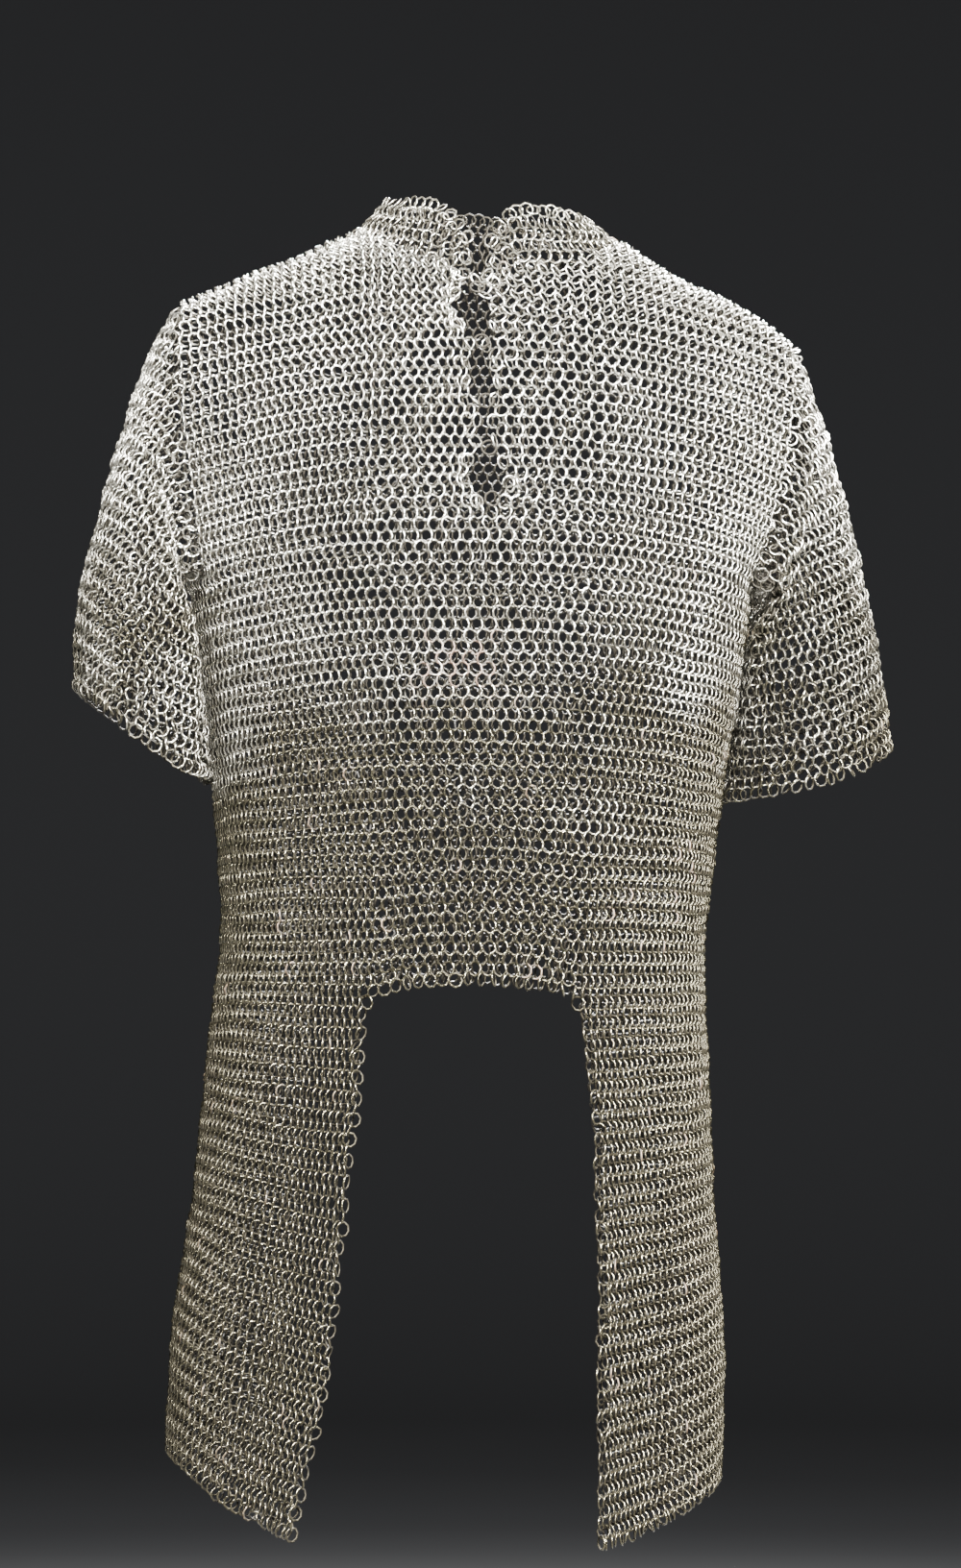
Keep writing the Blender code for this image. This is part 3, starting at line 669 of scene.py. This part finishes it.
def turned(vectors, axis, angle):
    """Vectors turned about unit axes by angles."""
    cos, sin = np.cos(angle)[:, None], np.sin(angle)[:, None]
    along_axis = (vectors * axis).sum(1)[:, None] * axis
    return vectors * cos + np.cross(axis, vectors) * sin + along_axis * (1 - cos)


def make_mail(name, field, material, tree):
    """One piece of mail: its rings laid, turned and joined, with their own tone and UV cells."""
    at, down, across, out = (field[key] for key in KEYS[:4])
    loose, count = field["loose"], len(field["at"])
    radius_share = np.sqrt(np.maximum(RADIUS ** 2 - ((field["pitch"] + WIRE) / 2) ** 2, 0.6))
    least = np.arcsin(np.clip(1.08 * WIRE / field["width"], 0, 0.6))
    lean = np.arccos(np.clip(field["width"] / (4 * radius_share), 0, 1))
    lean = np.clip(np.maximum(lean, least), LEAN_LEAST, LEAN_MOST)
    lean += math.radians(5) * unevenness(at, 90, 3) + np.radians(20) * np.clip(loose - 0.3, 0, 0.5)
    lean += rng.normal(size=count) * np.radians(LEAN_HELD + LEAN_FREE * loose)
    lean *= field["lean"]
    nod = rng.normal(size=count) * np.radians(NOD_HELD + NOD_FREE * loose)
    level = across * np.cos(lean)[:, None] + out * np.sin(lean)[:, None]
    upright = turned(down, level, nod)
    normal = np.cross(level, upright)
    drift = 0.5 + 1.2 * loose
    for way, wave, scale, seed, spread in (
        (across, 0.9, 75, 5, 0.35), (down, 0.7, 60, 6, 0.3), (out, 0.5, 45, 9, 0.35),
    ):
        shift = wave * unevenness(at, scale, seed) + spread * drift * rng.normal(size=count)
        at = at + way * shift[:, None]
    spin = rng.uniform(0, 2 * math.pi, count)
    level, upright = turned(level, normal, spin), turned(upright, normal, spin)

    points = bpy.data.meshes.new(name + "_points")
    points.vertices.add(count)
    points.vertices.foreach_set("co", (at * MM).ravel())
    turns = [
        tuple(Matrix(rows).transposed().to_quaternion())
        for rows in np.stack([level, upright, normal], 1)
    ]
    side = math.ceil(math.sqrt(count))
    cells = np.zeros((count, 3))
    cells[:, 0], cells[:, 1] = np.arange(count) % side / side, np.arange(count) // side / side
    size = np.tile([1 / side, 1 / side, 0], (count, 1))
    for key, kind, slot, values in (
        ("turn", "QUATERNION", "value", turns),
        ("cell", "FLOAT_VECTOR", "vector", cells),
        ("cell_size", "FLOAT_VECTOR", "vector", size),
        ("tone", "FLOAT", "value", rng.uniform(0, 1, count)),
        ("rust", "FLOAT", "value", rustiness(at)),
        ("outside", "FLOAT_VECTOR", "vector", out),
        ("middle", "FLOAT_VECTOR", "vector", at * MM),
    ):
        attribute = points.attributes.new(key, kind, "POINT")
        attribute.data.foreach_set(slot, np.asarray(values, np.float32).ravel())
    piece = bpy.data.objects.new(name + "_points", points)
    bpy.context.scene.collection.objects.link(piece)
    piece.modifiers.new("lay_rings", "NODES").node_group = tree
    graph = bpy.context.evaluated_depsgraph_get()
    mesh = bpy.data.meshes.new_from_object(piece.evaluated_get(graph))
    bpy.data.objects.remove(piece)
    for key in ("turn", "cell", "cell_size", "strip"):
        if key in mesh.attributes:
            mesh.attributes.remove(mesh.attributes[key])
    mesh.materials.clear()
    mesh.materials.append(material)
    mail = bpy.data.objects.new(name, mesh)
    mesh.name = name
    bpy.context.scene.collection.objects.link(mail)
    return mail


def rustiness(at):
    """How rusty each ring is: a patch below the slit, a few rings elsewhere."""
    patch = ((at[:, 0] - RUST_X) / RUST_REACH) ** 2 + ((at[:, 2] - RUST_Z) / RUST_REACH) ** 2
    patch = np.exp(-patch) * (at[:, 1] < 0)
    chance = rng.uniform(0, 1, len(at))
    rust = np.clip((patch * 1.1 - chance) * 2.5, 0, 0.95)
    rust[chance > 0.988] = rng.uniform(0.3, 0.8)
    return rust


# ---------------------------------------------------------------- finishes
# The dull olive tarnish that sets in between these heights is partly the steel's own and partly
# painted shade, darker towards the bottom.
FILM_AND_SHADE_HEIGHTS = -0.13, -0.40     # heights between which the dull film sets in
RUST_BROWN = (0.042, 0.017, 0.0055)
# Colour of the painted shade on the half of each ring that dips in under its neighbours.
PAINTED_SHADE_DIP = (0.020, 0.0175, 0.012)
# Colour of the painted shade on the wire's sides and inner face, nearly black.
PAINTED_SHADE_SIDES = (0.012, 0.0105, 0.008)


def nodes_of(material):
    material.use_nodes = True
    nodes = material.node_tree.nodes
    nodes.clear()
    shader, output = nodes.new("ShaderNodeBsdfPrincipled"), nodes.new("ShaderNodeOutputMaterial")
    material.node_tree.links.new(shader.outputs[0], output.inputs[0])
    return nodes, material.node_tree.links.new, shader


def mixed(nodes, link, factor, first, second, blend="MIX"):
    mix = nodes.new("ShaderNodeMix")
    mix.data_type, mix.blend_type = "RGBA", blend
    for socket, value in ((0, factor), (6, first), (7, second)):
        if isinstance(value, bpy.types.NodeSocket):
            link(value, mix.inputs[socket])
        else:
            mix.inputs[socket].default_value = value if socket == 0 else (*value, 1)
    return mix.outputs[2]


def ranged(nodes, link, value, low=0.0, high=1.0, first=0.0, last=1.0):
    """A value that goes from first to last as the one given goes from low to high."""
    spread = nodes.new("ShaderNodeMapRange")
    link(value, spread.inputs[0])
    for socket, number in zip((1, 2, 3, 4), (low, high, first, last)):
        spread.inputs[socket].default_value = number
    return spread.outputs[0]


def noise(nodes, link, scale, detail=2.0, low=0.35, high=0.65):
    """Noise on Object coordinates, spread from 0 to 1."""
    where, texture = nodes.new("ShaderNodeTexCoord"), nodes.new("ShaderNodeTexNoise")
    link(where.outputs["Object"], texture.inputs["Vector"])
    texture.inputs["Scale"].default_value = scale
    texture.inputs["Detail"].default_value = detail
    return ranged(nodes, link, texture.outputs[0], low, high)


def painted_shade_wire_sides(nodes, link):
    """0 on the crown of the wire, towards 1 on its sides and its inner face: painted shade, which
    darkens these nearly to black.
    """
    surface, outside = nodes.new("ShaderNodeNewGeometry"), nodes.new("ShaderNodeAttribute")
    outside.attribute_name = "outside"
    facing = nodes.new("ShaderNodeVectorMath")
    facing.operation = "DOT_PRODUCT"
    link(surface.outputs["Normal"], facing.inputs[0])
    link(outside.outputs["Vector"], facing.inputs[1])
    return ranged(nodes, link, facing.outputs["Value"], 0.66, 0.10, 0.0, 0.97)


def painted_shade_dipping_half(nodes, link):
    """0 on the half of a ring that stands out, towards 1 on the half that dips in: painted shade,
    where its neighbours would shade it.
    """
    where, middle = nodes.new("ShaderNodeTexCoord"), nodes.new("ShaderNodeAttribute")
    outside, from_middle = nodes.new("ShaderNodeAttribute"), nodes.new("ShaderNodeVectorMath")
    depth = nodes.new("ShaderNodeVectorMath")
    middle.attribute_name, outside.attribute_name = "middle", "outside"
    from_middle.operation, depth.operation = "SUBTRACT", "DOT_PRODUCT"
    link(where.outputs["Object"], from_middle.inputs[0])
    link(middle.outputs["Vector"], from_middle.inputs[1])
    link(from_middle.outputs[0], depth.inputs[0])
    link(outside.outputs["Vector"], depth.inputs[1])
    return ranged(nodes, link, depth.outputs["Value"], 0.0012, -0.0009, 0.0, 0.94)


def mail_steel(name, bright, dull, patina, rough):
    """Worn steel rings: bright wire, a dull olive tarnish in patches and towards the bottom that is
    partly painted shade, brown rust on some rings, and painted shade on the wire's sides and on the
    half of each ring that dips in.
    """
    material = bpy.data.materials.new(name)
    nodes, link, shader = nodes_of(material)
    tone, rust = nodes.new("ShaderNodeAttribute"), nodes.new("ShaderNodeAttribute")
    tone.attribute_name, rust.attribute_name = "tone", "rust"
    where, axes = nodes.new("ShaderNodeTexCoord"), nodes.new("ShaderNodeSeparateXYZ")
    link(where.outputs["Object"], axes.inputs[0])
    # Olive tarnish in patches and by height: partly the steel's own, partly painted shade darker
    # towards the bottom.
    film_and_shade = nodes.new("ShaderNodeMath")
    film_and_shade.operation = "MULTIPLY_ADD"
    link(noise(nodes, link, 14, 3), film_and_shade.inputs[0])
    film_and_shade.inputs[1].default_value = 0.50
    link(ranged(nodes, link, axes.outputs["Z"], *FILM_AND_SHADE_HEIGHTS), film_and_shade.inputs[2])
    film_and_shade.use_clamp = True
    base = mixed(nodes, link, film_and_shade.outputs[0], bright, dull)
    base = mixed(nodes, link, noise(nodes, link, 650, 2, 0.5, 0.72), base, patina)
    shade = ranged(nodes, link, tone.outputs["Fac"], first=0.78, last=1.12)
    grey = nodes.new("ShaderNodeCombineColor")
    for socket in range(3):
        link(shade, grey.inputs[socket])
    base = mixed(nodes, link, 1.0, base, grey.outputs[0], "MULTIPLY")
    base = mixed(nodes, link, rust.outputs["Fac"], base, RUST_BROWN)
    dip, inside = painted_shade_dipping_half(nodes, link), painted_shade_wire_sides(nodes, link)
    # Painted shade: the half of each ring that dips in is darkened.
    base = mixed(nodes, link, dip, base, PAINTED_SHADE_DIP)
    # Painted shade: the wire's sides and inner face are darkened nearly to black.
    base = mixed(nodes, link, inside, base, PAINTED_SHADE_SIDES)
    link(base, shader.inputs["Base Color"])
    metal = ranged(nodes, link, rust.outputs["Fac"], first=0.96, last=0.15)
    link(metal, shader.inputs["Metallic"])
    dullness = ranged(nodes, link, noise(nodes, link, 900, 3), first=rough, last=rough + 0.10)
    # The wire is rougher where shade is painted and where it is rusty.
    painted_shade_mask = nodes.new("ShaderNodeMath")
    rust_and_shade_mask = nodes.new("ShaderNodeMath")
    painted_shade_mask.operation = rust_and_shade_mask.operation = "MAXIMUM"
    link(dip, painted_shade_mask.inputs[0])
    link(inside, painted_shade_mask.inputs[1])
    link(painted_shade_mask.outputs[0], rust_and_shade_mask.inputs[0])
    link(rust.outputs["Fac"], rust_and_shade_mask.inputs[1])
    matte = nodes.new("ShaderNodeMix")
    link(rust_and_shade_mask.outputs[0], matte.inputs[0])
    link(dullness, matte.inputs[2])
    matte.inputs[3].default_value = 0.75
    link(matte.outputs[0], shader.inputs["Roughness"])
    bump = nodes.new("ShaderNodeBump")
    bump.inputs["Strength"].default_value = 0.35
    bump.inputs["Distance"].default_value = 0.0002
    link(noise(nodes, link, 1500, 3), bump.inputs["Height"])
    link(bump.outputs[0], shader.inputs["Normal"])
    return material


def pale_ground():
    """A pale floor that darkens away from the garment, up into a dark backdrop."""
    material = bpy.data.materials.new("pale_ground")
    nodes, link, shader = nodes_of(material)
    where, level = nodes.new("ShaderNodeTexCoord"), nodes.new("ShaderNodeVectorMath")
    away, rise = nodes.new("ShaderNodeVectorMath"), nodes.new("ShaderNodeMapRange")
    level.operation, away.operation = "MULTIPLY", "LENGTH"
    level.inputs[1].default_value = (1, 1, 0)
    rise.interpolation_type = "SMOOTHSTEP"
    link(where.outputs["Object"], level.inputs[0])
    link(level.outputs[0], away.inputs[0])
    link(away.outputs["Value"], rise.inputs[0])
    rise.inputs[1].default_value, rise.inputs[2].default_value = 0.6, 4.2
    mottle = noise(nodes, link, 3, 2)
    pale = mixed(nodes, link, mottle, (0.085, 0.085, 0.084), (0.094, 0.094, 0.093))
    base = mixed(nodes, link, rise.outputs[0], pale, (0.0045, 0.0046, 0.0049))
    link(base, shader.inputs["Base Color"])
    shader.inputs["Roughness"].default_value = 0.9
    shader.inputs["Specular IOR Level"].default_value = 0.05
    return material


# ---------------------------------------------------------------- making the garment
upper = mail_steel(
    "mail_upper", (0.92, 0.89, 0.77), (0.074, 0.068, 0.044), (0.09, 0.075, 0.046), 0.10
)
# The skirts' steel has the dark olive tone all over, which is partly painted shade, darker towards
# the bottom.
lower = mail_steel(
    "mail_lower", (0.092, 0.085, 0.056), (0.070, 0.063, 0.040), (0.06, 0.049, 0.03), 0.11
)
# The collar's steel is the same worn steel made darker: painted shade under the chin.
collar_shaded_steel = mail_steel(
    "mail_collar", (0.36, 0.345, 0.29), (0.10, 0.093, 0.062), (0.07, 0.058, 0.036), 0.12
)
bare = mail_steel("bare_wire", (0.30, 0.29, 0.25), (0.18, 0.17, 0.13), (0.12, 0.10, 0.07), 0.15)

pattern = ring_pattern()
tree = laying_nodes(pattern)
front_belly, back_belly, skirt_right, skirt_left = trunk_rings()
pieces = (
    ("mail_chest", ["front"], chest_rings(True), upper, "mail"),
    ("mail_belly", ["front"], front_belly, upper, "mail"),
    ("mail_shoulder_blades", ["back"], chest_rings(False), upper, "mail"),
    ("mail_back", ["back"], back_belly, upper, "mail"),
    ("mail_collar", ["collar"], collar_rings(), collar_shaded_steel, "mail"),
    ("mail_sleeve_right", ["sleeve_right"], sleeve_rings(SLEEVE_RIGHT, -1), upper, "mail"),
    ("mail_sleeve_left", ["sleeve_left"], sleeve_rings(SLEEVE_LEFT, 1), upper, "mail"),
    ("mail_skirt_right", ["skirt_right"], skirt_right, lower, "mail_lower"),
    ("mail_skirt_left", ["skirt_left"], skirt_left, lower, "mail_lower"),
)
total = 0
for name, nodes, field, material, slot in pieces:
    piece = make_mail(name, field, material, tree)
    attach(piece, "root")
    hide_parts(*nodes)
    count = len(field["at"])
    total += count
print("rings in all", total)
bpy.data.objects.remove(pattern)
for number in range(1, 6):
    link_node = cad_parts[f"neck_link_{number}"]
    for k in range(len(link_node.material_slots)):
        link_node.material_slots[k].material = bare

# ---------------------------------------------------------------- floor, light and camera
bm = bmesh.new()
bmesh.ops.create_cone(
    bm, cap_ends=True, segments=96, radius1=STUDIO_RADIUS, radius2=STUDIO_RADIUS, depth=STUDIO_HEIGHT
)
bmesh.ops.translate(bm, verts=bm.verts[:], vec=(0, 0, FLOOR_Z + STUDIO_HEIGHT / 2))
lid = [face for face in bm.faces if face.normal.z > 0.9]
bmesh.ops.delete(bm, geom=lid, context="FACES_ONLY")
foot = [edge for edge in bm.edges if all(v.co.z < FLOOR_Z + 0.1 for v in edge.verts)]
bmesh.ops.bevel(bm, geom=foot, offset=COVE, segments=14, affect="EDGES", profile=0.5)
bmesh.ops.reverse_faces(bm, faces=bm.faces[:])
for face in bm.faces:
    face.smooth = True
mesh = bpy.data.meshes.new("studio_cove")
bm.to_mesh(mesh)
bm.free()
cove = bpy.data.objects.new("studio_cove", mesh)
mesh.materials.append(pale_ground())
bpy.context.scene.collection.objects.link(cove)

world = bpy.data.worlds.new("studio")
bpy.context.scene.world = world
world.use_nodes = True
world.node_tree.nodes["Background"].inputs[0].default_value = (0.95, 0.97, 1.0, 1)
world.node_tree.nodes["Background"].inputs[1].default_value = 0.07


def area_light(name, place, target, size, power):
    light = bpy.data.lights.new(name, "AREA")
    light.shape, light.size, light.size_y, light.energy = "RECTANGLE", size[0], size[1], power
    lamp = bpy.data.objects.new(name, light)
    lamp.location = place
    lamp.rotation_mode = "QUATERNION"
    lamp.rotation_quaternion = (Vector(target) - Vector(place)).to_track_quat("-Z", "Y")
    bpy.context.scene.collection.objects.link(lamp)


area_light("key", (0.12, -1.90, 1.50), (0, 0, -0.15), (0.9, 0.6), 3900)
area_light("side_right", (-2.3, -1.9, 0.45), (0, 0, -0.30), (0.4, 0.9), 480)
area_light("side_left", (2.4, -1.8, 0.45), (0, 0, -0.30), (0.4, 0.9), 440)
area_light("behind", (0.6, 2.6, 1.5), (0, 0, -0.40), (1.0, 0.7), 900)

CAMERA_AWAY, CAMERA_ASIDE, CAMERA_Z, YAW, PITCH = 2.400, -0.0042, -0.4606, 5.0, 2.66
SENSOR, FOCAL, FRAME_HEIGHT = 36, 3960, 1632    # the focal length is in parts of the frame's height
lens = bpy.data.cameras.new("camera")
camera = bpy.data.objects.new("camera", lens)
turn = math.radians(YAW)
camera.location = (
    CAMERA_ASIDE * math.cos(turn) - CAMERA_AWAY * math.sin(turn),
    -CAMERA_ASIDE * math.sin(turn) - CAMERA_AWAY * math.cos(turn),
    CAMERA_Z,
)
camera.rotation_euler = (math.radians(90 + PITCH), 0, -turn)
lens.sensor_width, lens.lens = SENSOR, FOCAL * SENSOR / FRAME_HEIGHT
bpy.context.scene.collection.objects.link(camera)
bpy.context.scene.camera = camera
